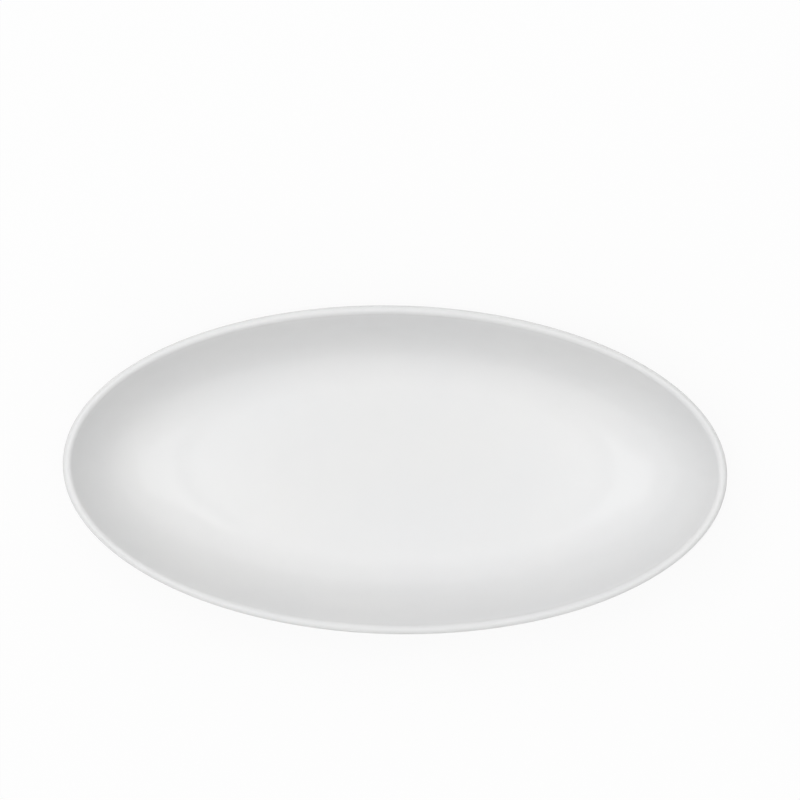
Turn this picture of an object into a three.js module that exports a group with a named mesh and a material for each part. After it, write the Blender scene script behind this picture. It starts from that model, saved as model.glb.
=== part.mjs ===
// Oval serving dish: a deep porcelain shell on a low foot ring, white gloss glaze inside and over the lip,
// dark brushed glaze round the outside, white glaze under the base and a bare ring where it stands.
// Millimetres, +Z up, +X along the length. The origin is the middle of the plane that the foot stands on.

import * as THREE from "three";

// Overall size over the glaze
const LENGTH = 280;
const WIDTH = 138.5;
const HEIGHT = 47;

// Rounded lip: thickness over the glaze, and the walls' leans from plumb in degrees
const LIP_THICKNESS = 3.8;
const LIP_OUTER_LEAN = 14.6;
const LIP_INNER_LEAN = 16.7;

// Foot ring: sizes of the bare porcelain, and its faces' leans from plumb in degrees
const FOOT_LENGTH = 204;
const FOOT_WIDTH = 84;
const FOOT_HEIGHT = 3.7;
const FOOT_RING_WIDTH = 4.8;
const FOOT_OUTER_LEAN = 30;
const FOOT_INNER_LEAN = 25;
const FOOT_EDGE_ROUND = 0.4;
const FOOT_FILLET = 1.7;

// Recess under the base, from the table to the glazed underside
const BASE_CLEARANCE = 2.6;
const BASE_FILLET = 1.5;

// Outer wall: the shares of its run and rise over which the curve leaves the foot and meets the lip
const BELLY_SPREAD_LONG = 0.55;
const BELLY_SPREAD_SHORT = 0.65;
const BELLY_LIFT = 0.18;
const BELLY_DROP = 0.56;

// Well: its flat floor ends inside the foot ring, and its turn is set back from the turn of the outer wall
const FLOOR_THICKNESS = 4.6;
const FLOOR_INSET_LONG = 15;
const FLOOR_INSET_SHORT = 8;
const WELL_SETBACK_LONG = 2;
const WELL_SETBACK_SHORT = 3;
const WELL_DROP = 0.52;

// Glaze coats: thicknesses, the straight bare band above the foot's rounded edge, and the angle up the lip,
// in degrees, at which the two colours meet
const INSIDE_GLAZE = 0.3;
const OUTSIDE_GLAZE = 0.3;
const BASE_GLAZE = 0.3;
const BARE_BAND = 0.2;
const COLOUR_ANGLE = 4;

// A rounding takes up no more than this share of the face that it is cut into
const ROUND_SHARE = 0.9;

// Facets: steps round the oval and along each curve of the section
const RING_STEPS = 64;
const EDGE_STEPS = 2;
const FILLET_STEPS = 3;
const BELLY_STEPS = 7;
const LIP_OUTER_STEPS = 2;
const LIP_INNER_STEPS = 6;
const WELL_STEPS = 8;

// A station of the section is one oval ring: x its half length, y its half width and z its height.
function station(halfLength, halfWidth, height) {
  return new THREE.Vector3(halfLength, halfWidth, height);
}

// The step up a face that leans out by the same angle all round the oval.
function leaning(degrees, height) {
  const out = height * Math.tan(THREE.MathUtils.degToRad(degrees));
  return station(out, out, height);
}

// The station moved out level by the same distance all round the oval.
function moved(from, distance) {
  return from.clone().add(station(distance, distance, 0));
}

// Stations along the rounding of a corner, tangent to the faces on both sides of it.
function rounding(from, corner, to, steps) {
  return new THREE.QuadraticBezierCurve3(from, corner, to).getPoints(steps);
}

// Foot ring: two leaning faces on a flat resting face with rounded edges.
const footOuter = station(FOOT_LENGTH / 2, FOOT_WIDTH / 2, 0);
const footInner = moved(footOuter, -FOOT_RING_WIDTH);
const edgeRound = Math.min(FOOT_EDGE_ROUND, (ROUND_SHARE * FOOT_RING_WIDTH) / 2);
const glazeLine = edgeRound + BARE_BAND;

function outerFace(height) {
  return footOuter.clone().add(leaning(FOOT_OUTER_LEAN, height));
}

function innerFace(height) {
  return footInner.clone().add(leaning(-FOOT_INNER_LEAN, height));
}

const restingFace = [
  ...rounding(innerFace(edgeRound), footInner, moved(footInner, edgeRound), EDGE_STEPS),
  ...rounding(moved(footOuter, -edgeRound), footOuter, outerFace(edgeRound), EDGE_STEPS),
];

// Recess: the level underside, a fillet, and the inner face of the foot down to its bare band.
const baseHeight = BASE_CLEARANCE + BASE_GLAZE;
const baseCorner = innerFace(baseHeight);
const baseFillet = Math.min(BASE_FILLET, ROUND_SHARE * (baseHeight - glazeLine));
const recess = [
  station(0, 0, baseHeight),
  ...rounding(moved(baseCorner, -baseFillet), baseCorner, innerFace(baseHeight - baseFillet), FILLET_STEPS),
  innerFace(glazeLine),
];

// Lip: a round bead, whose porcelain is thinner than the finished lip by the two coats.
const lipRadius = (LIP_THICKNESS - INSIDE_GLAZE - OUTSIDE_GLAZE) / 2;
const lipTop = station(LENGTH / 2, WIDTH / 2, HEIGHT - INSIDE_GLAZE - lipRadius);
const lipCentre = moved(lipTop, -OUTSIDE_GLAZE - lipRadius);

function lipArc(fromDegrees, toDegrees, steps) {
  return Array.from({ length: steps + 1 }, (_, step) => {
    const angle = THREE.MathUtils.degToRad(THREE.MathUtils.lerp(fromDegrees, toDegrees, step / steps));
    const out = lipRadius * Math.cos(angle);
    return lipCentre.clone().add(station(out, out, lipRadius * Math.sin(angle)));
  });
}

const outerLip = lipArc(-LIP_OUTER_LEAN, COLOUR_ANGLE, LIP_OUTER_STEPS);
const innerLip = lipArc(COLOUR_ANGLE, 180 - LIP_INNER_LEAN, LIP_INNER_STEPS);

// Outer wall: up the foot from its bare band, through a fillet, and on one curve to the lip.
const footCorner = outerFace(FOOT_HEIGHT);
const footFillet = Math.min(FOOT_FILLET, ROUND_SHARE * (FOOT_HEIGHT - glazeLine));
const wallTop = outerLip[0];
const wallSpan = wallTop.clone().sub(footCorner);
const bellyReach = wallSpan.clone().multiply(station(BELLY_SPREAD_LONG, BELLY_SPREAD_SHORT, BELLY_LIFT));
const bellyTurn = footCorner.clone().add(bellyReach);
const filletShare = footFillet / Math.hypot(bellyReach.x, bellyReach.z);
const bellyStart = footCorner.clone().addScaledVector(bellyReach, filletShare);
const lipReach = leaning(LIP_OUTER_LEAN, BELLY_DROP * wallSpan.z);
const belly = new THREE.CubicBezierCurve3(bellyStart, bellyTurn, wallTop.clone().sub(lipReach), wallTop);
const outerWall = [
  outerFace(glazeLine),
  ...rounding(outerFace(FOOT_HEIGHT - footFillet), footCorner, bellyStart, FILLET_STEPS),
  ...belly.getPoints(BELLY_STEPS).slice(1),
  ...outerLip.slice(1),
];

// Well: over the lip from where the colours meet, and on one curve down to the flat floor.
const floorHeight = BASE_CLEARANCE + FLOOR_THICKNESS - INSIDE_GLAZE;
const floorInset = station(FLOOR_INSET_LONG, FLOOR_INSET_SHORT, 0);
const floorEdge = footOuter.clone().sub(floorInset).setZ(floorHeight);
const wellSetback = station(WELL_SETBACK_LONG, WELL_SETBACK_SHORT, 0);
const wellTurn = bellyTurn.clone().sub(wellSetback).setZ(floorHeight);
const wellTop = innerLip.at(-1);
const wellReach = leaning(LIP_INNER_LEAN, WELL_DROP * (wellTop.z - floorHeight));
const wellCurve = new THREE.CubicBezierCurve3(wellTop, wellTop.clone().sub(wellReach), wellTurn, floorEdge);
const well = [
  outerWall.at(-1),
  ...innerLip.slice(1),
  ...wellCurve.getPoints(WELL_STEPS).slice(1),
  station(0, 0, floorHeight),
];

// The whole section of the porcelain, from under the middle of the base round to the middle of the floor.
const section = [...recess, ...restingFace, ...outerWall, ...well.slice(1)];

// A station of the section moved out by a coat's thickness, square to the wall along and across the dish.
function coated(at, thickness) {
  const index = section.indexOf(at);
  const before = section[Math.max(index - 1, 0)];
  const after = section[Math.min(index + 1, section.length - 1)];
  const along = after.clone().sub(before);
  const lengthways = new THREE.Vector2(along.z, -along.x).setLength(thickness);
  const crossways = new THREE.Vector2(along.z, -along.y).setLength(thickness);
  return at.clone().add(station(lengthways.x, crossways.x, (lengthways.y + crossways.y) / 2));
}

// A coat lies between the porcelain and its own outer surface.
function coat(stations, thickness) {
  return [...stations.map((at) => coated(at, thickness)), ...stations.toReversed()];
}

// One closed solid through oval rings, taken round the section in turn. How a facet is split depends on its
// two rings and not on their order, so a coat and the porcelain under it share the same triangles.
function loft(stations) {
  const position = stations.flatMap((ring) =>
    Array.from({ length: RING_STEPS }, (_, step) => {
      const angle = (2 * Math.PI * step) / RING_STEPS;
      return [ring.x * Math.cos(angle), ring.y * Math.sin(angle), ring.z];
    }),
  );
  const triangles = [];
  stations.forEach((here, ring) => {
    const nextRing = (ring + 1) % stations.length;
    const next = stations[nextRing];
    const widens = here.x === next.x ? here.z < next.z : here.x < next.x;
    for (let step = 0; step < RING_STEPS; step++) {
      const nextStep = (step + 1) % RING_STEPS;
      const a = ring * RING_STEPS + step;
      const b = ring * RING_STEPS + nextStep;
      const c = nextRing * RING_STEPS + nextStep;
      const d = nextRing * RING_STEPS + step;
      if (here.x > 0) triangles.push(a, b, widens ? c : d);
      if (next.x > 0) triangles.push(widens ? a : b, c, d);
    }
  });
  const geometry = new THREE.BufferGeometry();
  geometry.setAttribute("position", new THREE.Float32BufferAttribute(position.flat(), 3));
  geometry.setIndex(triangles);
  geometry.computeVertexNormals();
  return geometry;
}

function piece(name, stations, finish) {
  const mesh = new THREE.Mesh(loft(stations), new THREE.MeshStandardMaterial(finish));
  mesh.name = name;
  return mesh;
}

const porcelain = { color: 0xe9e5dd, roughness: 0.7, metalness: 0 };
const whiteGlaze = { color: 0xf1f1ef, roughness: 0.12, metalness: 0 };
const darkGlaze = { color: 0x554c43, roughness: 0.32, metalness: 0.25 };

const dish = new THREE.Group();
dish.name = "oval_serving_dish";
dish.add(
  piece("dish_body", section, porcelain),
  piece("inside_glaze", coat(well, INSIDE_GLAZE), whiteGlaze),
  piece("outside_glaze", coat(outerWall, OUTSIDE_GLAZE), darkGlaze),
  piece("base_glaze", coat(recess, BASE_GLAZE), whiteGlaze),
);

export default dish;
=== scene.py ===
"""Oval serving dish: a porcelain shell, white glaze in its well and under its base, dark glaze outside.

All four pieces are lofted from one oval section. It runs from under the middle of the base round the foot,
up the outer wall, over the lip and down the well to the middle of its floor. Sizes are in metres and angles
in degrees, +X lies along the dish and the dish stands on z = 0.
"""

import logging
import math
from dataclasses import dataclass, field
from enum import Enum
from functools import cached_property, partial, reduce
from typing import Sequence

import bpy
import numpy as np
from bpy.types import Material, Mesh, Node, NodeTree, Object
from bpy.types import NodeSocket as Socket
from mathutils import Matrix, Vector, noise


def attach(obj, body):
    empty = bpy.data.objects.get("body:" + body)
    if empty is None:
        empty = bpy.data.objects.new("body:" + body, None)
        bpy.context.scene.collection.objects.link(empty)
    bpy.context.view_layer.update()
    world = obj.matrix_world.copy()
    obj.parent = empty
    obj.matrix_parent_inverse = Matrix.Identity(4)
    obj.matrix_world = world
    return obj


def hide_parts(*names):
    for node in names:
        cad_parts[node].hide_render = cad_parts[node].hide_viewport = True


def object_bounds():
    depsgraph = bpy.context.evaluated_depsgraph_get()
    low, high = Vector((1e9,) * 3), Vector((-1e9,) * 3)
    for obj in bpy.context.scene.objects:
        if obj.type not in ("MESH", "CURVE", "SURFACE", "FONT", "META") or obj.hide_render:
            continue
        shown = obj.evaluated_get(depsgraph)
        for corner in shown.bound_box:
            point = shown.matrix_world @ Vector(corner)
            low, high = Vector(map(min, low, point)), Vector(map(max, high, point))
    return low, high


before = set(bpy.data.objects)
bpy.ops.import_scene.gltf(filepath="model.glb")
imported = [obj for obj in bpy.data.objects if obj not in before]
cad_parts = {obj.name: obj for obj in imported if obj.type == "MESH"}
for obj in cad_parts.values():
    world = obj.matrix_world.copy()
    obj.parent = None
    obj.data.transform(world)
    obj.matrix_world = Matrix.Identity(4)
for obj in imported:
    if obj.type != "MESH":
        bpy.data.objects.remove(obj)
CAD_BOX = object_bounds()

LOG = logging.getLogger("oval_serving_dish")
BODY = "root"

# One oval ring of the section: its half length, half width and height.
Station = np.ndarray
Colour = tuple[float, float, float]
Place = tuple[float, float, float]
# What a node's input is linked to or set to.
Feed = Socket | float | Sequence[float]

WHITE: Colour = (1.0, 1.0, 1.0)
# The refractive index of glaze and of fired porcelain.
CERAMIC_IOR = 1.5
# The value about which soft random patches lie.
NOISE_MEAN = 0.5
# A ring smaller than this is a single point.
POINT_SIZE = 1e-9
# An edge that turns by more than this angle stays sharp.
SHARP_TURN = 50.0
# The rays by which a surface is seen, and doesn't only give light.
SEEING_RAYS = ("Is Camera Ray", "Is Glossy Ray", "Is Transmission Ray")


class Slot(Enum):
    """The material slots that the dish's record names."""

    PORCELAIN = "porcelain"
    WHITE_GLAZE = "white_glaze"
    DARK_GLAZE = "dark_glaze"


class Run(Enum):
    """The stretches of the section, in the order in which it passes them."""

    RECESS = "recess"
    RESTING = "resting face"
    WALL = "outer wall"
    WELL = "well"


class Edge(Enum):
    """An end of a coat: where it is free and draws up into a bead, or what a distance is measured from."""

    NONE = "none"
    FIRST = "first station"
    LAST = "last station"


class Measure(Enum):
    """The distances that a coat's mesh keeps at its points for its material."""

    WALL_RUN = "wall_run"
    EDGE_GAP = "edge_gap"


def leaning(lean: float, height: float) -> Station:
    """The step up a face that leans out by the same angle all round the oval."""
    out = height * math.tan(math.radians(lean))
    return np.array((out, out, height))


def level(distance: float) -> Station:
    """The level step out by the same distance all round the oval."""
    return np.array((distance, distance, 0.0))


def bezier(controls: Sequence[Station], shares: np.ndarray) -> np.ndarray:
    """Find stations along the curve that a few control stations set.

    Args:
        controls: The control stations, from one end of the curve to the other.
        shares: How far along the curve each station lies, from 0 to 1.

    Returns:
        One row for each station.
    """
    degree = len(controls) - 1
    share = np.asarray(shares)[:, None]
    weights = [math.comb(degree, k) * share**k * (1.0 - share) ** (degree - k) for k in range(degree + 1)]
    return sum(weight * control for weight, control in zip(weights, controls))


def even(steps: int) -> np.ndarray:
    """Shares from 0 to 1 in even steps."""
    return np.linspace(0.0, 1.0, steps + 1)


def crowded(steps: int) -> np.ndarray:
    """Shares from 0 to 1 that crowd together near 0."""
    return 1.0 - np.cos(even(steps) * math.pi / 2.0)


@dataclass(frozen=True)
class FootRing:
    """The low oval ring that the dish stands on, and the recess inside it."""

    length: float = 0.204
    width: float = 0.084
    height: float = 0.0037
    ring_width: float = 0.0048
    outer_lean: float = 30.0
    inner_lean: float = 25.0
    edge_round: float = 0.0004
    fillet: float = 0.0017
    bare_band: float = 0.0002
    base_height: float = 0.0029
    base_fillet: float = 0.0015
    edge_steps: int = 6
    fillet_steps: int = 8
    band_steps: int = 6
    base_steps: int = 6

    @property
    def glaze_line(self) -> float:
        """The height at which the coats begin."""
        return self.edge_round + self.bare_band

    @property
    def outer(self) -> Station:
        """The outer corner of the resting face."""
        return np.array((self.length / 2.0, self.width / 2.0, 0.0))

    @property
    def corner(self) -> Station:
        """The outer corner between the foot and the belly."""
        return self.outer_face(self.height)

    def outer_face(self, height: float) -> Station:
        """The station on the foot's outer face at a height."""
        return self.outer + leaning(self.outer_lean, height)

    def inner_face(self, height: float) -> Station:
        """The station on the foot's inner face at a height."""
        return self.outer - level(self.ring_width) + leaning(-self.inner_lean, height)

    def resting(self) -> np.ndarray:
        """Find the stations across the bare resting face, with its two rounded edges.

        Returns:
            Stations from the inner face to the outer face.
        """
        inner = self.inner_face(0.0)
        inner_edge = (self.inner_face(self.edge_round), inner, inner + level(self.edge_round))
        outer_edge = (self.outer - level(self.edge_round), self.outer, self.outer_face(self.edge_round))
        return np.vstack([bezier(edge, even(self.edge_steps)) for edge in (inner_edge, outer_edge)])

    def recess(self) -> np.ndarray:
        """Find the stations from under the middle of the base to the bare band of the foot.

        Returns:
            Stations along the level underside, its fillet and the foot's inner face.
        """
        corner = self.inner_face(self.base_height)
        fillet_start = corner - level(self.base_fillet)
        fillet_end = self.inner_face(self.base_height - self.base_fillet)
        middle = np.array((0.0, 0.0, self.base_height))
        underside = bezier((middle, fillet_start), even(self.base_steps))
        fillet = bezier((fillet_start, corner, fillet_end), even(self.fillet_steps))
        band = bezier((self.inner_face(self.glaze_line), fillet_end), crowded(self.band_steps))[::-1]
        return np.vstack([underside, fillet[1:], band[1:]])


@dataclass(frozen=True)
class Lip:
    """The rounded lip, on which the two colours of glaze meet."""

    half_length: float
    half_width: float
    height: float
    coat: float = 0.0003
    thickness: float = 0.0038
    outer_lean: float = 14.6
    inner_lean: float = 16.7
    colour_angle: float = 4.0
    outer_steps: int = 8
    inner_steps: int = 18

    def arc(self, start: float, end: float, steps: int) -> np.ndarray:
        """Find stations round the porcelain of the lip.

        Args:
            start: The angle up from level at which the arc begins.
            end: The angle at which it ends.
            steps: How many steps it takes.

        Returns:
            Stations from start to end.
        """
        radius = self.thickness / 2.0 - self.coat
        top = np.array((self.half_length, self.half_width, self.height))
        centre = top - self.coat - radius
        angles = np.radians(start + (end - start) * even(steps))
        out = radius * np.cos(angles)
        return centre + np.column_stack([out, out, radius * np.sin(angles)])

    def outer_arc(self) -> np.ndarray:
        """Stations from the outer wall up to where the colours meet."""
        return self.arc(-self.outer_lean, self.colour_angle, self.outer_steps)

    def inner_arc(self) -> np.ndarray:
        """Stations from where the colours meet over to the well."""
        return self.arc(self.colour_angle, 180.0 - self.inner_lean, self.inner_steps)


@dataclass(frozen=True)
class OuterWall:
    """The wall from the foot to the lip: shares of its run and rise set where its one curve turns."""

    spread_long: float = 0.55
    spread_short: float = 0.65
    lift: float = 0.18
    drop: float = 0.56
    steps: int = 60

    def reach(self, foot: FootRing, lip: Lip) -> Station:
        """The step from the foot's corner to where the curve turns up."""
        span = lip.outer_arc()[0] - foot.corner
        return span * np.array((self.spread_long, self.spread_short, self.lift))

    def turn(self, foot: FootRing, lip: Lip) -> Station:
        """The control station at which the curve turns up."""
        return foot.corner + self.reach(foot, lip)

    def stations(self, foot: FootRing, lip: Lip) -> np.ndarray:
        """Find the stations from the foot's bare band to where the colours meet.

        Args:
            foot: The ring that the wall rises from.
            lip: The lip that it ends in.

        Returns:
            Stations up the foot, through its fillet, up the belly and round the lip's outer edge.
        """
        corner = foot.corner
        reach = self.reach(foot, lip)
        outer_lip = lip.outer_arc()
        top = outer_lip[0]
        belly_start = corner + reach * (foot.fillet / math.hypot(reach[0], reach[2]))
        fillet_start = foot.outer_face(foot.height - foot.fillet)
        lip_reach = leaning(lip.outer_lean, self.drop * (top[2] - corner[2]))
        band = bezier((foot.outer_face(foot.glaze_line), fillet_start), crowded(foot.band_steps))
        fillet = bezier((fillet_start, corner, belly_start), even(foot.fillet_steps))
        belly = bezier((belly_start, corner + reach, top - lip_reach, top), even(self.steps))
        return np.vstack([band, fillet[1:], belly[1:], outer_lip[1:]])


@dataclass(frozen=True)
class Well:
    """The inside: a flat floor that ends inside the foot, and one curve from it to the lip."""

    floor_height: float = 0.0069
    inset_long: float = 0.015
    inset_short: float = 0.008
    setback_long: float = 0.002
    setback_short: float = 0.003
    drop: float = 0.52
    steps: int = 60
    floor_steps: int = 10

    def stations(self, foot: FootRing, lip: Lip, wall: OuterWall) -> np.ndarray:
        """Find the stations from where the colours meet to the middle of the floor.

        Args:
            foot: The ring that the floor ends inside.
            lip: The lip that the well starts from.
            wall: The outer wall, whose turn the well's turn is set back from.

        Returns:
            Stations over the lip, down the well and along the floor.
        """
        inner_lip = lip.inner_arc()
        top = inner_lip[-1]
        floor_edge = foot.outer - np.array((self.inset_long, self.inset_short, -self.floor_height))
        turn = wall.turn(foot, lip) - np.array((self.setback_long, self.setback_short, 0.0))
        turn[2] = self.floor_height
        down = leaning(lip.inner_lean, self.drop * (top[2] - self.floor_height))
        curve = bezier((top, top - down, turn, floor_edge), even(self.steps))
        middle = np.array((0.0, 0.0, self.floor_height))
        floor = bezier((floor_edge, middle), even(self.floor_steps))
        return np.vstack([inner_lip, curve[1:], floor[1:]])


@dataclass
class DishSection:
    """The whole oval section of the porcelain, and the coats that lie on its stretches."""

    foot: FootRing
    lip: Lip
    wall: OuterWall
    well: Well
    ring_steps: int = 256
    bead_width: float = 0.00035
    bead_least: float = 0.2
    stations: np.ndarray = field(init=False)
    spans: dict[Run, slice] = field(init=False)

    def __post_init__(self) -> None:
        """Join the four stretches and note where each of them lies."""
        recess = self.foot.recess()
        resting = self.foot.resting()
        wall = self.wall.stations(self.foot, self.lip)
        well = self.well.stations(self.foot, self.lip, self.wall)
        self.stations = np.vstack([recess, resting, wall, well[1:]])
        wall_start = len(recess) + len(resting)
        well_start = wall_start + len(wall) - 1
        self.spans = {
            Run.RECESS: slice(0, len(recess)),
            Run.RESTING: slice(len(recess), wall_start),
            Run.WALL: slice(wall_start, well_start + 1),
            Run.WELL: slice(well_start, len(self.stations)),
        }

    def rings(self, stations: np.ndarray) -> np.ndarray:
        """Turn stations into oval rings of points.

        Args:
            stations: One row for each ring.

        Returns:
            An array of rings by points by coordinates.
        """
        angles = np.linspace(0.0, 2.0 * math.pi, self.ring_steps, endpoint=False)
        x = stations[:, 0, None] * np.cos(angles)
        y = stations[:, 1, None] * np.sin(angles)
        z = np.repeat(stations[:, 2, None], self.ring_steps, axis=1)
        return np.stack([x, y, z], axis=2)

    def outward(self, run: Run) -> np.ndarray:
        """Find the step out of the porcelain for each station of a stretch.

        Args:
            run: The stretch of the section.

        Returns:
            Stations that are one unit long along the dish and across it.
        """
        padded = np.vstack([self.stations[:1], self.stations, self.stations[-1:]])
        along = (padded[2:] - padded[:-2])[self.spans[run]]
        lengthways = np.hypot(along[:, 0], along[:, 2])
        crossways = np.hypot(along[:, 1], along[:, 2])
        lift = -(along[:, 0] / lengthways + along[:, 1] / crossways) / 2.0
        return np.column_stack([along[:, 2] / lengthways, along[:, 2] / crossways, lift])

    def bead(self, runs: np.ndarray, edge: Edge) -> np.ndarray:
        """Find the share of a coat's thickness at each point, less where it draws up at a free edge.

        Args:
            runs: Distances along the coat from its first station.
            edge: The end at which the coat is free.

        Returns:
            Shares from bead_least to 1.
        """
        if edge is Edge.NONE:
            return np.ones_like(runs)
        gap = runs if edge is Edge.FIRST else runs[-1] - runs
        back = 1.0 - np.minimum(gap / self.bead_width, 1.0)
        return np.maximum(np.sqrt(1.0 - back**2), self.bead_least)

    def surface_runs(self, run: Run) -> np.ndarray:
        """Find how far along the surface each point of a stretch lies from the stretch's first station.

        Args:
            run: The stretch of the section.

        Returns:
            An array of rings by points.
        """
        rings = self.rings(self.stations[self.spans[run]])
        steps = np.linalg.norm(np.diff(rings, axis=0), axis=2)
        return np.vstack([np.zeros((1, self.ring_steps)), np.cumsum(steps, axis=0)])

    def coat(self, run: Run, thickness: np.ndarray) -> np.ndarray:
        """Find the rings of a coat: its own surface, and the porcelain under it in return.

        Args:
            run: The stretch of the section that the coat covers.
            thickness: The coat's thickness at each point of each ring.

        Returns:
            A closed loop of rings.
        """
        porcelain = self.rings(self.stations[self.spans[run]])
        across = self.rings(self.outward(run))
        surface = porcelain + across * thickness[:, :, None]
        return np.concatenate([surface, porcelain[::-1]])


def loft(name: str, rings: np.ndarray, measures: dict[Measure, np.ndarray]) -> Mesh:
    """Make one closed smooth mesh through rings of points, each of which may close to a single point.

    Args:
        name: The mesh's name.
        rings: A closed loop of rings by points by coordinates.
        measures: Distances of each point of each ring, kept on the mesh for its material.

    Returns:
        The new mesh.
    """
    ring_count, steps = rings.shape[:2]
    closed_up = np.ptp(rings, axis=1).max(axis=1) < POINT_SIZE
    used = np.ones((ring_count, steps), bool)
    used[closed_up, 1:] = False
    index = np.cumsum(used.ravel()).reshape(ring_count, steps) - 1
    faces = []
    for here in range(ring_count):
        after = (here + 1) % ring_count
        if closed_up[here] and closed_up[after]:
            continue
        for step in range(steps):
            turn = (step + 1) % steps
            corners = (index[here, step], index[here, turn], index[after, turn], index[after, step])
            faces.append(tuple(dict.fromkeys(int(corner) for corner in corners)))
    mesh = bpy.data.meshes.new(name)
    mesh.from_pydata(rings[used].tolist(), [], faces)
    for measure, values in measures.items():
        attribute = mesh.attributes.new(measure.value, "FLOAT", "POINT")
        attribute.data.foreach_set("value", values[used].astype(np.float32))
    mesh.shade_smooth()
    mesh.set_sharp_from_angle(angle=math.radians(SHARP_TURN))
    mesh.validate()
    return mesh


class Sheet:
    """A node tree, written as nested calls whose results are sockets."""

    def __init__(self, tree: NodeTree) -> None:
        """Take a tree to write in."""
        self.tree = tree

    def add(self, kind: str, inputs: dict[str | int, Feed], **settings: object) -> Node:
        """Add a node.

        Args:
            kind: The shader node's type.
            inputs: What each named or numbered input is linked to or set to. A colour is set without alpha.
            **settings: The node's own properties.

        Returns:
            The new node.
        """
        node = self.tree.nodes.new(f"ShaderNode{kind}")
        for name, value in settings.items():
            setattr(node, name, value)
        for name, value in inputs.items():
            socket = node.inputs[name]
            if isinstance(value, Socket):
                self.tree.links.new(value, socket)
            else:
                socket.default_value = (*value, 1.0) if socket.type == "RGBA" else value
        return node

    def math(self, operation: str, first: Feed, second: Feed = 0.0) -> Socket:
        """The result of an operation on one or two values."""
        return self.add("Math", {0: first, 1: second}, operation=operation).outputs[0]

    def total(self, *values: Feed) -> Socket:
        """The sum of several values."""
        return reduce(partial(self.math, "ADD"), values)

    def product(self, *values: Feed) -> Socket:
        """The product of several values."""
        return reduce(partial(self.math, "MULTIPLY"), values)

    def raised(self, value: Feed, *parts: tuple[Feed, float]) -> Socket:
        """A value with parts added to it, each by its own weight."""
        return self.total(value, *(self.product(part, weight) for part, weight in parts))

    def vector(self, operation: str, first: Feed, second: Feed = (0.0, 0.0, 0.0)) -> Node:
        """The node of an operation on one or two points, which puts out a Vector and a Value."""
        return self.add("VectorMath", {0: first, 1: second}, operation=operation)

    def scaled(self, point: Feed, *factors: float) -> Socket:
        """The point with each coordinate multiplied by its factor."""
        return self.vector("MULTIPLY", point, factors).outputs["Vector"]

    def length(self, point: Feed) -> Socket:
        """How far a point lies from the origin."""
        return self.vector("LENGTH", point).outputs["Value"]

    def coordinate(self, point: Feed, axis: str) -> Socket:
        """One coordinate of a point."""
        return self.add("SeparateXYZ", {0: point}).outputs[axis]

    def mottle(self, point: Feed, size: Feed, detail: float, roughness: float = 0.5) -> Socket:
        """Soft random patches.

        Args:
            point: Where to look them up.
            size: About how large a patch is, in the point's unit.
            detail: How many finer layers there are.
            roughness: How strong the finer layers are.

        Returns:
            A value about NOISE_MEAN.
        """
        scale = self.math("DIVIDE", 1.0, size)
        inputs = {"Vector": point, "Scale": scale, "Detail": detail, "Roughness": roughness}
        return self.add("TexNoise", inputs).outputs["Fac"]

    def swing(self, point: Feed, size: Feed, detail: float, roughness: float = 0.5) -> Socket:
        """Soft random patches about 0."""
        return self.math("SUBTRACT", self.mottle(point, size, detail, roughness), NOISE_MEAN)

    def mixed(self, share: Feed, first: Feed, second: Feed, blend: str = "MIX") -> Socket:
        """The blend of two colours by a share."""
        node = self.add("Mix", {0: share, 6: first, 7: second}, data_type="RGBA", blend_type=blend)
        return node.outputs[2]

    def ramp(self, value: Feed, stops: Sequence[tuple[float, Colour]]) -> Socket:
        """Look a value up in a row of colours.

        Args:
            value: The value, from 0 to 1.
            stops: Places and their colours, in rising order.

        Returns:
            The colour.
        """
        node = self.add("ValToRGB", {"Fac": value})
        elements = node.color_ramp.elements
        while len(elements) < len(stops):
            elements.new(1.0)
        for element, (place, colour) in zip(elements, stops):
            element.position = place
            element.color = (*colour, 1.0)
        return node.outputs["Color"]

    def bump(self, height: Feed, depth: float) -> Socket:
        """The normal of a surface whose heights from 0 to 1 span a depth."""
        return self.add("Bump", {"Height": height, "Distance": depth, "Strength": 1.0}).outputs["Normal"]

    def measure(self, kept: Measure) -> Socket:
        """A distance that the mesh keeps at its points."""
        return self.add("Attribute", {}, attribute_name=kept.value).outputs["Fac"]


class EffectSheet(Sheet):
    """The sheet of a new shared effect: a node group with a point, named values and one named result."""

    def __init__(self, name: str, values: Sequence[str], result: str) -> None:
        """Begin the group.

        Args:
            name: The group's name.
            values: The names of its inputs after the point.
            result: The name of its output.
        """
        super().__init__(bpy.data.node_groups.new(name, "ShaderNodeTree"))
        sockets = self.tree.interface
        sockets.new_socket("point", in_out="INPUT", socket_type="NodeSocketVector")
        for value in values:
            sockets.new_socket(value, in_out="INPUT", socket_type="NodeSocketFloat")
        sockets.new_socket(result, in_out="OUTPUT", socket_type="NodeSocketFloat")
        entry = self.tree.nodes.new("NodeGroupInput")
        self.given = [entry.outputs[value] for value in ("point", *values)]

    def finished(self, result: Socket) -> NodeTree:
        """The group, with its result put out."""
        self.tree.links.new(result, self.tree.nodes.new("NodeGroupOutput").inputs[0])
        return self.tree


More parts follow.
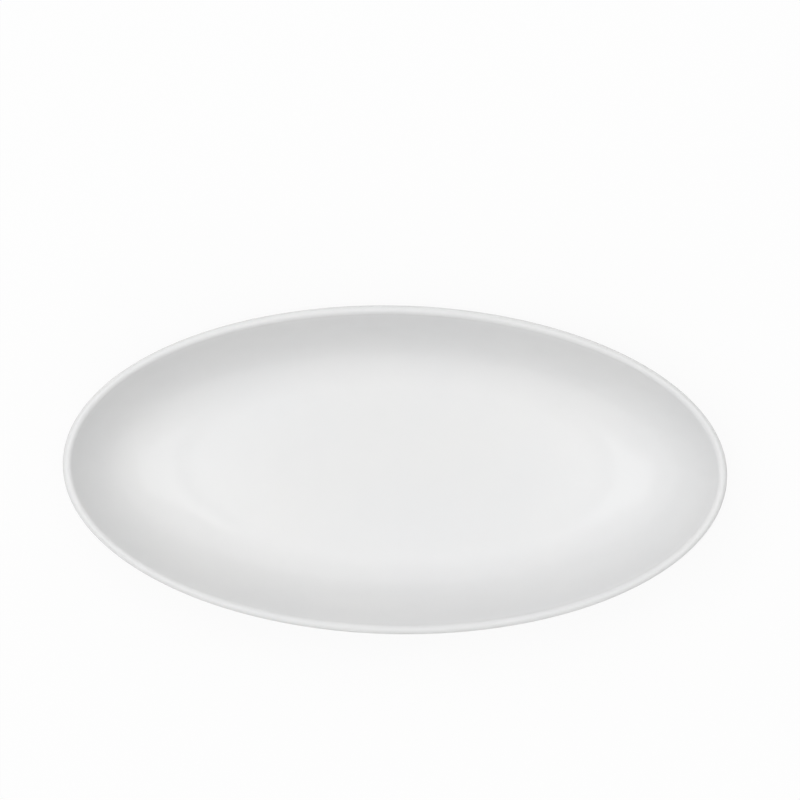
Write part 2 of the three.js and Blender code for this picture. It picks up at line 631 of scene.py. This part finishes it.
class MaterialSheet(Sheet):
    """The sheet of a new material, with the place on its object in metres."""

    def __init__(self, name: str) -> None:
        """Begin a material.

        Args:
            name: The material's name.
        """
        self.material = bpy.data.materials.new(name)
        self.material.use_nodes = True
        super().__init__(self.material.node_tree)
        self.tree.nodes.clear()
        self.place = self.add("TexCoord", {}).outputs["Object"]

    def effect(self, tree: NodeTree, **values: Feed) -> Socket:
        """The result of a shared effect at this place, with this surface's own values."""
        return self.add("Group", {"point": self.place, **values}, node_tree=tree).outputs[0]

    def finished(self, surface: Node) -> Material:
        """The material, with a shader for its surface."""
        self.add("OutputMaterial", {"Surface": surface.outputs[0]})
        return self.material

    def ceramic(self, inputs: dict[str, Feed]) -> Material:
        """The material, with a ceramic surface of its own values."""
        return self.finished(self.add("BsdfPrincipled", {"IOR": CERAMIC_IOR, **inputs}))


@dataclass(frozen=True)
class Ease:
    """A soft change from one value to another while an input goes from start to end."""

    start: float
    end: float
    low: float = 0.0
    high: float = 1.0

    def on(self, sheet: Sheet, value: Feed) -> Socket:
        """The eased value for an input."""
        inputs = {0: value, 1: self.start, 2: self.end, 3: self.low, 4: self.high}
        return sheet.add("MapRange", inputs, interpolation_type="SMOOTHSTEP").outputs[0]


@dataclass
class Effects:
    """The effects that more than one finish uses, each built once as a node group."""

    ripple_detail: float = 1.0
    drift_detail: float = 3.0
    drift_roughness: float = 0.55
    drift_spread: Ease = Ease(0.3, 0.7)
    waver_detail: float = 2.0
    edge_fade: Ease = Ease(0.35, 1.0, 1.0, 0.0)

    @cached_property
    def ripple(self) -> NodeTree:
        """Build the ripple of a fired glaze: slow waves with a fine orange peel over them.

        Returns:
            A group whose result is a height from 0 to 1.
        """
        sheet = EffectSheet("glaze_ripple", ("wave", "peel", "peel_share"), "height")
        point, wave_size, peel_size, peel_share = sheet.given
        wave = sheet.mottle(point, wave_size, self.ripple_detail)
        peel = sheet.mottle(point, peel_size, self.ripple_detail)
        wave_share = sheet.math("SUBTRACT", 1.0, peel_share)
        return sheet.finished(sheet.total(sheet.product(wave, wave_share), sheet.product(peel, peel_share)))

    @cached_property
    def drift(self) -> NodeTree:
        """Build the slow drift of a tone over a surface.

        Returns:
            A group whose result goes from 0 to 1.
        """
        sheet = EffectSheet("tone_drift", ("size",), "tone")
        patches = sheet.mottle(*sheet.given, self.drift_detail, self.drift_roughness)
        return sheet.finished(self.drift_spread.on(sheet, patches))

    @cached_property
    def specks(self) -> NodeTree:
        """Build the few small specks that iron in the clay leaves in a fired surface.

        Returns:
            A group whose result is the strength in a speck and 0 elsewhere.
        """
        sheet = EffectSheet("iron_specks", ("spacing", "radius", "share", "strength"), "mask")
        point, spacing, radius, share, strength = sheet.given
        scale = sheet.math("DIVIDE", 1.0, spacing)
        cells = sheet.add("TexVoronoi", {"Vector": point, "Scale": scale})
        chance = sheet.add("SeparateColor", {0: cells.outputs["Color"]})
        size = sheet.product(radius, scale, chance.outputs["Green"])
        inside = sheet.math("LESS_THAN", cells.outputs["Distance"], size)
        chosen = sheet.math("LESS_THAN", chance.outputs["Red"], share)
        return sheet.finished(sheet.product(inside, chosen, strength))

    @cached_property
    def edge(self) -> NodeTree:
        """Build the uneven band in which a surface changes towards an edge.

        Returns:
            A group whose result goes from 1 at the edge to 0 past the band.
        """
        sheet = EffectSheet("thin_edge", ("gap", "width", "waver", "waver_size"), "mask")
        point, gap, width, waver, waver_size = sheet.given
        swing = sheet.swing(point, waver_size, self.waver_detail)
        share = sheet.raised(sheet.math("DIVIDE", gap, width), (swing, waver))
        return sheet.finished(self.edge_fade.on(sheet, share))


# The next three hold one surface's values for a shared effect, by the names of its inputs.


@dataclass(frozen=True)
class Ripple:
    """The sizes of a ripple's slow waves and of its orange peel, and the peel's share of the height."""

    wave: float
    peel: float
    peel_share: float


@dataclass(frozen=True)
class Specks:
    """The spacing and radius of iron specks, the share of them that show, and their colour's strength."""

    spacing: float
    radius: float
    share: float
    strength: float


@dataclass(frozen=True)
class EdgeBand:
    """The width of a band along an edge, how far its border wavers in widths, and how long a waver is."""

    width: float
    waver: float
    waver_size: float = 0.006


@dataclass(frozen=True)
class WhiteGlaze:
    """White gloss glaze: even, faintly rippled, a little greyer where it runs thin at its edge."""

    white: Colour = (0.872, 0.872, 0.868)
    cool_white: Colour = (0.848, 0.851, 0.853)
    drift_size: float = 0.07
    thin_white: Colour = (0.745, 0.735, 0.715)
    thin_band: EdgeBand = EdgeBand(0.0016, 1.0)
    thin_strength: float = 0.25
    speck: Colour = (0.36, 0.31, 0.26)
    specks: Specks = Specks(0.021, 0.00022, 0.1, 0.7)
    roughness: float = 0.1
    drift_roughness: float = 0.05
    thin_roughness: float = 0.06
    ripple: Ripple = Ripple(0.022, 0.0016, 0.08)
    ripple_depth: float = 0.00008

    def material(self, effects: Effects) -> Material:
        """Build the material.

        Args:
            effects: The shared effects.

        Returns:
            The finished material.
        """
        sheet = MaterialSheet("white_gloss_glaze")
        drift = sheet.effect(effects.drift, size=self.drift_size)
        thin = sheet.effect(effects.edge, gap=sheet.measure(Measure.EDGE_GAP), **vars(self.thin_band))
        colour = sheet.mixed(drift, self.white, self.cool_white)
        colour = sheet.mixed(sheet.product(thin, self.thin_strength), colour, self.thin_white)
        colour = sheet.mixed(sheet.effect(effects.specks, **vars(self.specks)), colour, self.speck)
        roughness = sheet.raised(self.roughness, (drift, self.drift_roughness), (thin, self.thin_roughness))
        normal = sheet.bump(sheet.effect(effects.ripple, **vars(self.ripple)), self.ripple_depth)
        return sheet.ceramic({"Base Color": colour, "Roughness": roughness, "Normal": normal})


@dataclass(frozen=True)
class Marks:
    """One layer of random brush marks: their length, how drawn out they are, and their strength."""

    length: float
    stretch: float
    strength: float = 1.0
    detail: float = 2.0
    roughness: float = 0.5

    def on(self, sheet: Sheet, brush: Socket) -> Socket:
        """Lay the marks on a surface.

        Args:
            sheet: The material's sheet.
            brush: The place along the brush strokes.

        Returns:
            A tone about 0, paler above it and darker below it.
        """
        place = sheet.scaled(brush, 1.0, 1.0, self.stretch)
        return sheet.product(sheet.swing(place, self.length, self.detail, self.roughness), self.strength)


@dataclass(frozen=True)
class Band:
    """A soft band of tone: the places at which it comes in, is full and goes out again, and its tone."""

    start: float
    full_from: float
    full_to: float
    end: float
    tone: float = 1.0

    def on(self, sheet: Sheet, value: Socket) -> Socket:
        """The band's tone where a value lies inside it, and 0 outside it."""
        coming = Ease(self.start, self.full_from, 0.0, self.tone).on(sheet, value)
        return sheet.product(coming, Ease(self.full_to, self.end, 1.0, 0.0).on(sheet, value))


@dataclass(frozen=True)
class WallPlace:
    """A place on the wall: along the strokes, up the height, towards an end, and the streak there."""

    brush: Socket
    up: Socket
    end: Socket
    streak: Socket


@dataclass(frozen=True)
class DarkBrushedGlaze:
    """Dark grey-brown glaze, dragged round the wall with a wide brush, with painted dark reflection high on
    the shoulders and a painted pale reflection at each end.
    """

    half_length: float
    half_width: float
    height: float
    tones: tuple[tuple[float, Colour], ...] = (
        (0.0, (0.0025, 0.002, 0.0016)),
        (0.2, (0.011, 0.0068, 0.0043)),
        (0.38, (0.0368, 0.0247, 0.0168)),
        (0.52, (0.0692, 0.0521, 0.0371)),
        (0.66, (0.1235, 0.0995, 0.0735)),
        (0.8, (0.2245, 0.187, 0.14)),
        (1.0, (0.605, 0.561, 0.496)),
    )
    base_tone: float = 0.555
    sway: float = 0.0012
    sway_size: float = 0.1
    sway_detail: float = 1.0
    clouds: Marks = Marks(0.085, 2.4, 1.0, 2.0, 0.45)
    streaks: Marks = Marks(0.04, 5.5, 0.7, 3.0)
    bristles: Marks = Marks(0.03, 22.0, 0.16)
    dashes: Marks = Marks(0.05, 7.0)
    blots: Marks = Marks(0.05, 3.6, 1.0, 4.0, 0.6)
    flecks: Marks = Marks(0.026, 4.4, 1.4, 3.0, 0.6)
    under_lip: Band = Band(0.73, 0.78, 0.92, 0.98, 0.34)
    over_foot: Band = Band(0.09, 0.13, 0.18, 0.28, 0.17)
    band_fray: float = 0.12
    dash_fade: Ease = Ease(-0.14, 0.1, 0.3, 1.0)
    middle: Ease = Ease(0.18, 0.6, 1.0, 0.2)
    middle_tone: float = 0.06
    # Painted light: the lower wall is made paler to make up for the shade it gets while it faces down to the
    # floor.
    low_wall: Ease = Ease(0.15, 0.65, 0.1, 0.0)
    # Painted shade: the bottom of the wall next to the foot is darkened as contact shadow.
    foot: Ease = Ease(0.07, 0.115, -0.2, 0.0)
    # Painted reflection: a black band high on the shoulders stands in for a dark gap between lamps mirrored
    # in the glaze.
    shoulder: Band = Band(0.66, 0.85, 0.88, 0.94)
    shoulder_rise: Ease = Ease(0.4, 0.66, 0.1, 0.34)
    blot_fray: float = 0.8
    blot_edge: Ease = Ease(0.08, 0.42)
    blot_tone: float = -0.5
    fleck_fade: Ease = Ease(0.6, 0.88)
    # Painted reflection: the pale patch at each end stands in for bright side light glancing off the glaze.
    pale_fray: float = 0.16
    pale_end: Ease = Ease(0.86, 0.94, 0.0, 0.31)
    pale_low: Ease = Ease(0.15, 0.45, 0.5, 1.0)
    pale_high: Ease = Ease(0.7, 0.88, 1.0, 0.4)
    lip_line: EdgeBand = EdgeBand(0.0008, 0.8)
    line_tone: float = -0.4
    plum: Colour = (1.045, 0.975, 0.965)
    olive: Colour = (0.985, 1.005, 0.95)
    hue_size: float = 0.06
    hue_stretch: float = 2.5
    speck: Colour = (0.011, 0.0068, 0.0043)
    specks: Specks = Specks(0.008, 0.0003, 0.3, 0.7)
    roughness: float = 0.3
    streak_roughness: float = 0.2
    sheen: Ease = Ease(0.0, 1.0, 0.16, 0.02)
    sheen_roughness: float = 0.12
    ripple: Ripple = Ripple(0.012, 0.0014, 0.15)
    ripple_ridge: float = 0.35
    streak_ridge: float = 0.5
    ridge_depth: float = 0.00012

    def material(self, effects: Effects) -> Material:
        """Build the material.

        Args:
            effects: The shared effects.

        Returns:
            The finished material.
        """
        sheet = MaterialSheet("dark_brushed_glaze")
        wall = self.wall_place(sheet)
        bristle = self.bristles.on(sheet, wall.brush)
        # Black brush blots, with painted dark reflection on the shoulders.
        blot_and_dark_reflection = self.blot_mask(sheet, wall)
        line = sheet.effect(effects.edge, gap=sheet.measure(Measure.EDGE_GAP), **vars(self.lip_line))
        brushed = sheet.total(self.base_tone, self.clouds.on(sheet, wall.brush), wall.streak, bristle)
        placed = sheet.total(brushed, self.band_tone(sheet, wall), self.end_tone(sheet, wall))
        tone = sheet.raised(placed, (blot_and_dark_reflection, self.blot_tone), (line, self.line_tone))
        hue_place = sheet.scaled(wall.brush, 1.0, 1.0, self.hue_stretch)
        hue = sheet.effect(effects.drift, point=hue_place, size=self.hue_size)
        tint = sheet.mixed(hue, self.plum, self.olive)
        colour = sheet.mixed(1.0, sheet.ramp(tone, self.tones), tint, "MULTIPLY")
        colour = sheet.mixed(sheet.effect(effects.specks, **vars(self.specks)), colour, self.speck)
        ripple = sheet.effect(effects.ripple, **vars(self.ripple))
        height = sheet.raised(bristle, (wall.streak, self.streak_ridge), (ripple, self.ripple_ridge))
        return sheet.ceramic(
            {
                "Base Color": colour,
                "Roughness": sheet.raised(self.roughness, (wall.streak, self.streak_roughness)),
                "Normal": sheet.bump(height, self.ridge_depth),
                "Specular IOR Level": 0.0,
                "Coat Weight": self.sheen.on(sheet, blot_and_dark_reflection),
                "Coat Roughness": self.sheen_roughness,
            }
        )

    def wall_place(self, sheet: MaterialSheet) -> WallPlace:
        """Find where each place lies on the wall, with strokes that sway a little up and down.

        Args:
            sheet: The material's sheet.

        Returns:
            The place, whose third coordinate along the strokes runs up the wall.
        """
        swing = sheet.swing(sheet.place, self.sway_size, self.sway_detail)
        run = sheet.raised(sheet.measure(Measure.WALL_RUN), (swing, self.sway))
        x, y, z = (sheet.coordinate(sheet.place, axis) for axis in "XYZ")
        brush = sheet.add("CombineXYZ", {0: x, 1: y, 2: run}).outputs[0]
        up = sheet.math("DIVIDE", z, self.height)
        on_oval = sheet.scaled(sheet.place, 1.0 / self.half_length, 1.0 / self.half_width, 0.0)
        outward = sheet.vector("NORMALIZE", on_oval).outputs["Vector"]
        end = sheet.math("ABSOLUTE", sheet.coordinate(outward, "X"))
        return WallPlace(brush, up, end, self.streaks.on(sheet, brush))

    def band_tone(self, sheet: Sheet, wall: WallPlace) -> Socket:
        """Work out what the bands add: paler dashes under the lip and over the foot, painted light on the
        lower wall and painted shade at the foot.

        Args:
            sheet: The material's sheet.
            wall: The place on the wall, whose streaks fray the bands.

        Returns:
            A tone to add.
        """
        up = sheet.raised(wall.up, (wall.streak, self.band_fray))
        middle = self.middle.on(sheet, wall.end)
        dash = self.dash_fade.on(sheet, self.dashes.on(sheet, wall.brush))
        bands = sheet.total(self.under_lip.on(sheet, up), self.over_foot.on(sheet, up))
        dashed = sheet.raised(sheet.product(bands, dash, middle), (middle, self.middle_tone))
        # Adds painted light on the lower wall and painted shade at the foot.
        return sheet.total(dashed, self.low_wall.on(sheet, up), self.foot.on(sheet, wall.up))

    def blot_mask(self, sheet: Sheet, wall: WallPlace) -> Socket:
        """Find where the brush left frayed black blots, and the painted dark reflection high on the dish's
        shoulders.

        Args:
            sheet: The material's sheet.
            wall: The place on the wall, whose streaks fray the blots.

        Returns:
            1 in the middle of a blot or of the painted dark reflection, and 0 outside it.
        """
        # Painted reflection: the shoulder band darkens like a blot but stands in for a dark reflection.
        shoulder = sheet.product(self.shoulder.on(sheet, wall.end), self.shoulder_rise.on(sheet, wall.up))
        blots = sheet.total(self.blots.on(sheet, wall.brush), shoulder)
        return self.blot_edge.on(sheet, sheet.raised(blots, (wall.streak, self.blot_fray)))

    def end_tone(self, sheet: Sheet, wall: WallPlace) -> Socket:
        """Work out what the two ends add: restless flecks, and a painted pale reflection of side light at
        each end.

        Args:
            sheet: The material's sheet.
            wall: The place on the wall, whose streaks fray the patches.

        Returns:
            A tone to add.
        """
        fleck = sheet.product(self.flecks.on(sheet, wall.brush), self.fleck_fade.on(sheet, wall.end))
        # Painted reflection: a pale belt at each end, frayed by the streaks, stands in for side light
        # glancing off the glaze.
        end = sheet.raised(wall.end, (wall.streak, self.pale_fray))
        reflection_belt = sheet.product(self.pale_low.on(sheet, wall.up), self.pale_high.on(sheet, wall.up))
        return sheet.total(fleck, sheet.product(self.pale_end.on(sheet, end), reflection_belt))


@dataclass(frozen=True)
class BarePorcelain:
    """Unglazed fired porcelain: matt, fine-grained, greyed a little where it has been stood on tables."""

    clay: Colour = (0.79, 0.765, 0.72)
    pale_clay: Colour = (0.85, 0.835, 0.8)
    drift_size: float = 0.02
    rubbed: Colour = (0.55, 0.53, 0.5)
    rub_band: EdgeBand = EdgeBand(0.0006, 2.4, 0.004)
    rub_strength: float = 0.7
    specks: Specks = Specks(0.006, 0.0002, 0.25, 0.8)
    grain_size: float = 0.0005
    grain_detail: float = 3.0
    grain_harshness: float = 0.6
    grain_depth: float = 0.00006
    roughness: float = 0.72
    grain_roughness: float = 0.15
    rub_roughness: float = -0.12

    def material(self, effects: Effects) -> Material:
        """Build the material.

        Args:
            effects: The shared effects.

        Returns:
            The finished material.
        """
        sheet = MaterialSheet("bare_porcelain")
        drift = sheet.effect(effects.drift, size=self.drift_size)
        grain = sheet.mottle(sheet.place, self.grain_size, self.grain_detail, self.grain_harshness)
        rub = sheet.effect(effects.edge, gap=sheet.coordinate(sheet.place, "Z"), **vars(self.rub_band))
        colour = sheet.mixed(drift, self.clay, self.pale_clay)
        colour = sheet.mixed(sheet.product(rub, grain, self.rub_strength), colour, self.rubbed)
        colour = sheet.mixed(sheet.effect(effects.specks, **vars(self.specks)), colour, self.rubbed)
        roughness = sheet.raised(self.roughness, (grain, self.grain_roughness), (rub, self.rub_roughness))
        normal = sheet.bump(grain, self.grain_depth)
        return sheet.ceramic({"Base Color": colour, "Roughness": roughness, "Normal": normal})


@dataclass
class DishPiece:
    """A piece of the dish that is lofted from its section and stands for a piece of the frame."""

    section: DishSection
    finish: Material
    name: str
    node: str
    slot: Slot

    def mesh(self) -> Mesh:
        """The piece's mesh."""
        raise NotImplementedError

    def build(self) -> None:
        """Build the piece, dress it and put it on the frame."""
        mesh = self.mesh()
        mesh.materials.append(self.finish)
        piece = bpy.data.objects.new(self.name, mesh)
        bpy.context.scene.collection.objects.link(piece)
        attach(piece, BODY)
        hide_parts(self.node)
        LOG.info("%s stands for %s with %d faces", self.name, self.node, len(mesh.polygons))


@dataclass
class PorcelainShell(DishPiece):
    """The fired porcelain with its lip and foot, which shows only where the foot stands."""

    def mesh(self) -> Mesh:
        """The whole section, lofted."""
        return loft(self.name, self.section.rings(self.section.stations), {})


@dataclass
class GlazeCoat(DishPiece):
    """A coat of glaze on one stretch of the porcelain."""

    run: Run
    free_edge: Edge
    measured_from: Edge
    thickness: float = 0.0003

    def thicknesses(self, runs: np.ndarray) -> np.ndarray:
        """The coat's thickness at each point, drawn up into a bead at its free edge."""
        return self.thickness * np.apply_along_axis(self.section.bead, 0, runs, self.free_edge)

    def mesh(self) -> Mesh:
        """Loft the coat, and keep on it how far each point lies from the coat's ends.

        Returns:
            The new mesh.
        """
        runs = self.section.surface_runs(self.run)
        gaps = runs if self.measured_from is Edge.FIRST else runs[-1] - runs
        rings = self.section.coat(self.run, self.thicknesses(runs))
        measures = {Measure.WALL_RUN: runs, Measure.EDGE_GAP: gaps}
        both_sides = {kept: np.concatenate([values, values[::-1]]) for kept, values in measures.items()}
        return loft(self.name, rings, both_sides)


@dataclass
class BrushedCoat(GlazeCoat):
    """The coat that is laid on with a brush, so that it is a little thicker along some strokes."""

    unevenness: float = 0.22
    stroke_length: float = 0.05
    stroke_width: float = 0.007
    even_edge: float = 0.004

    def thicknesses(self, runs: np.ndarray) -> np.ndarray:
        """Find the coat's thickness at each point, uneven along the strokes and even at the lip.

        Args:
            runs: How far up the wall each point lies.

        Returns:
            An array of rings by points.
        """
        places = self.section.rings(self.section.stations[self.section.spans[self.run]])
        strokes = np.array([
            [self.stroke(place, run) for place, run in zip(ring, heights)]
            for ring, heights in zip(places, runs)
        ])
        fade = np.clip((runs[-1] - runs) / self.even_edge, 0.0, 1.0)
        return super().thicknesses(runs) * (1.0 + self.unevenness * strokes * fade)

    def stroke(self, place: np.ndarray, run: float) -> float:
        """How much thicker or thinner the brush left the coat at a place."""
        spot = (place[0] / self.stroke_length, place[1] / self.stroke_length, run / self.stroke_width)
        return noise.noise(Vector(spot))


@dataclass(frozen=True)
class Studio:
    """A pale floor, a large soft lamp overhead, two that only the gloss shows, and light from all round."""

    floor_size: float = 12.0
    floor_drop: float = 0.0002
    floor_colour: Colour = (0.9, 0.9, 0.9)
    clearing: Ease = Ease(0.35, 0.9, 0.93, 1.0)
    contact: Ease = Ease(0.6, 1.08, 0.4, 1.0)
    lamp_place: Place = (-0.36, 0.26, 1.9)
    lamp_size: float = 1.5
    lamp_power: float = 17.0
    gleam_places: tuple[Place, ...] = ((-0.7, 0.1, 1.7), (0.7, 0.1, 1.7))
    gleam_size: float = 1.2
    gleam_power: float = 3.5
    sky: Ease = Ease(-1.0, 1.0, 0.29, 0.57)

    def build(self) -> None:
        """Build the floor, the lamps and the light from all round."""
        self.build_floor()
        overhead = self.build_lamp("overhead_lamp", Vector(self.lamp_place), self.lamp_size, self.lamp_power)
        overhead.visible_glossy = False
        for number, place in enumerate(self.gleam_places, 1):
            gleam = self.build_lamp(f"gleam_lamp_{number}", Vector(place), self.gleam_size, self.gleam_power)
            gleam.visible_diffuse = False
        self.build_sky()

    def seen(self, sheet: Sheet) -> Socket:
        """1 where the eye, a reflection or clear glass sees the surface, and 0 where it only gives light."""
        path = sheet.add("LightPath", {}).outputs
        return reduce(partial(sheet.math, "MAXIMUM"), (path[ray] for ray in SEEING_RAYS))

    def build_floor(self) -> None:
        """Build the floor, which is white away from the dish and shows its soft shadow close under it."""
        half = self.floor_size / 2.0
        mesh = bpy.data.meshes.new("studio_floor")
        corners = [(-half, -half, 0.0), (half, -half, 0.0), (half, half, 0.0), (-half, half, 0.0)]
        mesh.from_pydata(corners, [], [(0, 1, 2, 3)])
        floor = bpy.data.objects.new("studio_floor", mesh)
        floor.location.z = CAD_BOX[0][2] - self.floor_drop
        bpy.context.scene.collection.objects.link(floor)
        sheet = MaterialSheet("studio_floor")
        half_length, half_width, _ = CAD_BOX[1]
        outline = sheet.scaled(sheet.place, 1.0 / half_length, 1.0 / half_width, 0.0)
        clearing = self.clearing.on(sheet, sheet.length(sheet.place))
        contact = self.contact.on(sheet, sheet.length(outline))
        share = sheet.product(self.seen(sheet), clearing, contact)
        paint = sheet.add("BsdfDiffuse", {"Color": self.floor_colour})
        white = sheet.add("Emission", {"Color": WHITE, "Strength": 1.0})
        surface = sheet.add("MixShader", {0: share, 1: paint.outputs[0], 2: white.outputs[0]})
        mesh.materials.append(sheet.finished(surface))
        LOG.info("floor in place")

    def build_lamp(self, name: str, place: Vector, size: float, power: float) -> Object:
        """Build a square soft lamp, turned to the dish.

        Args:
            name: The lamp's name.
            place: Where it hangs.
            size: The length of its sides.
            power: Its power in watts.

        Returns:
            The lamp.
        """
        data = bpy.data.lights.new(name, "AREA")
        data.shape = "SQUARE"
        data.size = size
        data.energy = power
        lamp = bpy.data.objects.new(name, data)
        turn = (-place).to_track_quat("-Z", "Y")
        lamp.matrix_world = Matrix.Translation(place) @ turn.to_matrix().to_4x4()
        bpy.context.scene.collection.objects.link(lamp)
        LOG.info("%s in place", name)
        return lamp

    def build_sky(self) -> None:
        """Build the light from all round, a little brighter from the lamp's side, on a white backdrop."""
        world = bpy.data.worlds.new("studio_light")
        world.use_nodes = True
        world.node_tree.nodes.clear()
        sheet = Sheet(world.node_tree)
        direction = sheet.add("TexCoord", {}).outputs["Generated"]
        towards = tuple(Vector(self.lamp_place).normalized())
        facing = sheet.vector("DOT_PRODUCT", direction, towards).outputs["Value"]
        light = sheet.add("Background", {"Color": WHITE, "Strength": self.sky.on(sheet, facing)})
        white = sheet.add("Background", {"Color": WHITE, "Strength": 1.0})
        surface = sheet.add("MixShader", {0: self.seen(sheet), 1: light.outputs[0], 2: white.outputs[0]})
        sheet.add("OutputWorld", {"Surface": surface.outputs[0]})
        bpy.context.scene.world = world
        LOG.info("studio light in place")


@dataclass(frozen=True)
class PlanCamera:
    """A long lens that looks straight down on the dish."""

    lens_mm: float = 150.0
    sensor_mm: float = 36.0
    picture_px: float = 800.0
    dish_half_px: float = 332.3
    dish_x_px: float = 394.95
    dish_y_px: float = 469.8
    roll: float = 1.27

    def build(self, lip: Lip) -> None:
        """Build the camera and make it the scene's own.

        Args:
            lip: The lip, whose outline sets the scale of the picture.
        """
        data = bpy.data.cameras.new("plan_camera")
        data.lens = self.lens_mm
        data.sensor_width = self.sensor_mm
        scale = lip.half_length / self.dish_half_px
        distance = scale * self.picture_px * self.lens_mm / self.sensor_mm
        middle = self.picture_px / 2.0
        aside = Vector(((middle - self.dish_x_px) * scale, (self.dish_y_px - middle) * scale, 0.0))
        turn = Matrix.Rotation(math.radians(self.roll), 4, "Z")
        rim = lip.height - lip.thickness / 2.0
        camera = bpy.data.objects.new("plan_camera", data)
        camera.matrix_world = turn @ Matrix.Translation(aside + Vector((0.0, 0.0, rim + distance)))
        bpy.context.scene.collection.objects.link(camera)
        bpy.context.scene.camera = camera
        LOG.info("camera in place, %.3f m over the rim", distance)


def main() -> None:
    """Build the dish piece by piece, and the studio and camera round it."""
    logging.basicConfig(level=logging.INFO, format="%(message)s")
    bpy.context.scene.view_settings.view_transform = "Standard"
    half_length, half_width, height = CAD_BOX[1]
    lip = Lip(half_length, half_width, height)
    section = DishSection(FootRing(), lip, OuterWall(), Well())
    effects = Effects()
    white = WhiteGlaze().material(effects)
    dark = DarkBrushedGlaze(half_length, half_width, height).material(effects)
    bare = BarePorcelain().material(effects)
    pieces: tuple[DishPiece, ...] = (
        PorcelainShell(section, bare, "porcelain_shell", "dish_body", Slot.PORCELAIN),
        GlazeCoat(
            section, white, "white_well_glaze", "inside_glaze", Slot.WHITE_GLAZE,
            Run.WELL, Edge.NONE, Edge.FIRST,
        ),
        BrushedCoat(
            section, dark, "brushed_wall_glaze", "outside_glaze", Slot.DARK_GLAZE,
            Run.WALL, Edge.FIRST, Edge.LAST,
        ),
        GlazeCoat(
            section, white, "white_base_glaze", "base_glaze", Slot.WHITE_GLAZE,
            Run.RECESS, Edge.LAST, Edge.LAST,
        ),
    )
    for piece in pieces:
        piece.build()
    Studio().build()
    PlanCamera().build(lip)


if __name__ == "__main__":
    main()
